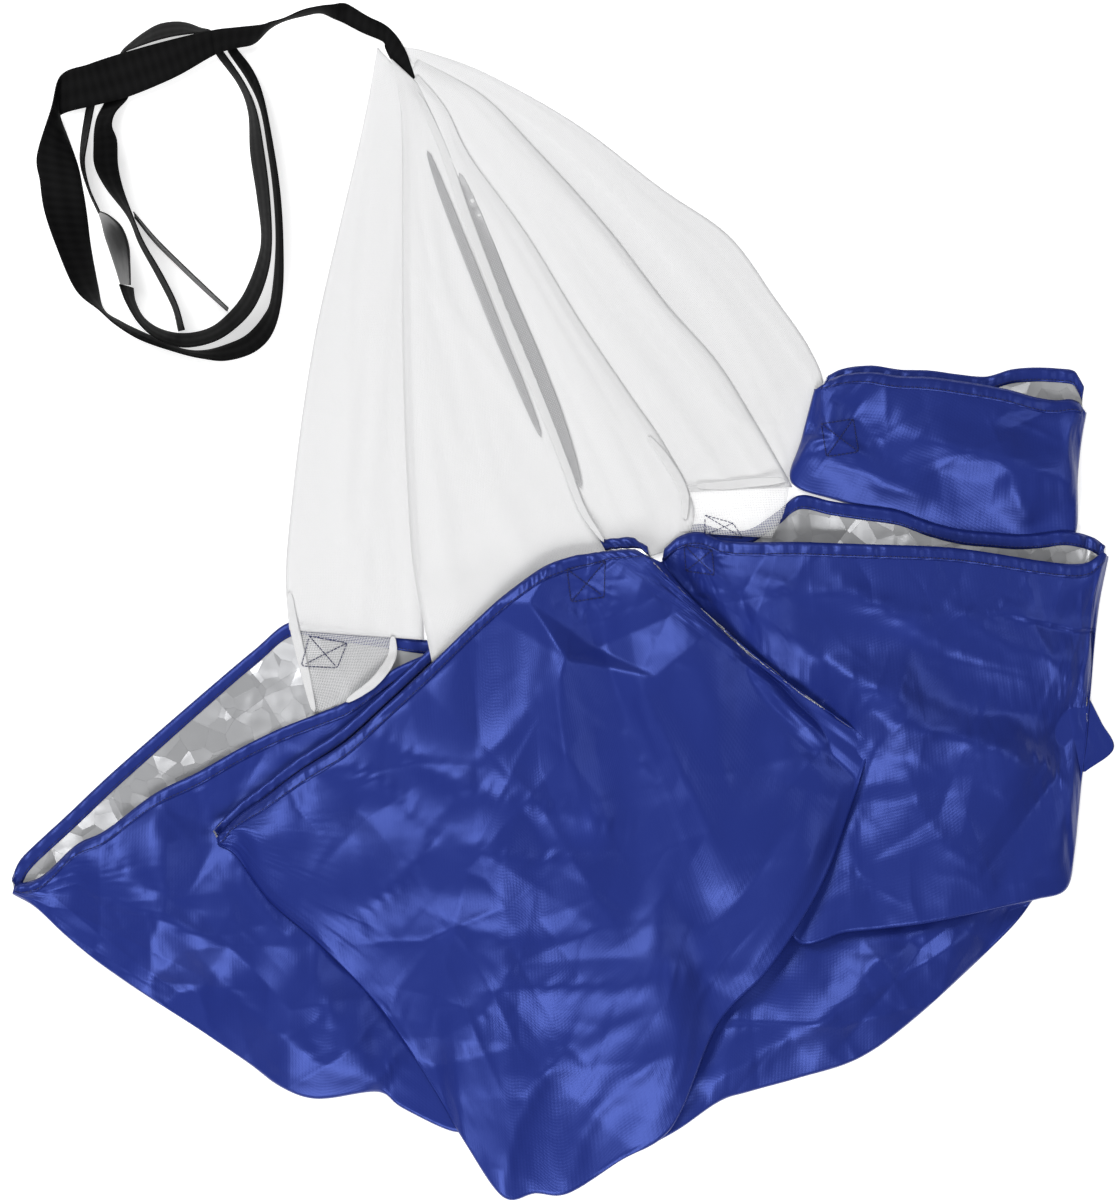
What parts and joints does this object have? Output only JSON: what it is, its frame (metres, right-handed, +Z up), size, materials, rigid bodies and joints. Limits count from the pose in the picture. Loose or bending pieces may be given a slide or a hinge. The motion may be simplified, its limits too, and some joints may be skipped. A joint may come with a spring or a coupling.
{
  "type": "speed parachute",
  "caption": "Running resistance parachute laid out collapsed: folded round canopy, open mesh funnel, webbing lead and coiled waist belt with hook and loop closure.",
  "frame": {"origin": "middle of the footprint, on the surface that the parachute lies on", "axes": "+Z up off the floor, +Y from the canopy towards the apex of the mesh, +X to the right when it is seen from above with +Y away from the viewer"},
  "size_m": [1.2128, 1.3148, 0.0548],
  "materials": {
    "canopy_cloth": "satin woven cloth, silver coated inside",
    "hem_cloth": "turned hem, stitched",
    "mesh_net": "open white net",
    "webbing": "matt ribbed weave",
    "hook_tape": "smooth, slightly glossy",
    "loop_tape": "fuzzy"
  },
  "bodies": {
    "canopy": {"canopy_left_lobe": "canopy_cloth", "canopy_front_lobe": "canopy_cloth", "canopy_right_lobe": "canopy_cloth", "canopy_lower_lobe": "canopy_cloth", "canopy_upper_lobe": "canopy_cloth", "canopy_corner": "canopy_cloth", "left_far_hem": "hem_cloth", "left_near_hem": "hem_cloth", "front_far_hem": "hem_cloth", "front_near_hem": "hem_cloth", "right_far_hem": "hem_cloth", "right_near_hem": "hem_cloth", "lower_far_hem": "hem_cloth", "lower_near_hem": "hem_cloth", "upper_far_hem": "hem_cloth", "upper_near_hem": "hem_cloth", "mesh_far_panel": "mesh_net", "mesh_right_panel": "mesh_net", "mesh_middle_panel": "mesh_net", "mesh_front_panel": "mesh_net", "mesh_left_panel": "mesh_net", "mesh_left_tab": "mesh_net", "mesh_right_tab": "mesh_net", "mesh_front_hem": "mesh_net", "mesh_left_hem": "mesh_net", "mesh_tab_hem": "mesh_net", "mesh_middle_hem": "mesh_net", "mesh_right_hem": "mesh_net", "apex_tab": "webbing"},
    "lead": {"lead_strap": "webbing"},
    "belt": {"belt_upper_band": "webbing", "belt_back_turn": "webbing", "belt_outer_turn": "webbing", "belt_inner_turn": "webbing", "belt_end": "webbing", "belt_return": "webbing", "hook_tape": "hook_tape", "loop_tape": "loop_tape"}
  },
  "joints": [
    {"name": "lead_lift", "type": "hinge", "parent": "canopy", "child": "lead", "pos_m": [-0.19926, 0.62571, 0.00619], "axis": [0, 1, 0], "range_deg": [0, 60]},
    {"name": "belt_swing", "type": "hinge", "parent": "lead", "child": "belt", "pos_m": [-0.30679, 0.63864, 0.00619], "axis": [0, 0, 1], "range_deg": [-20, 5]}
  ]
}
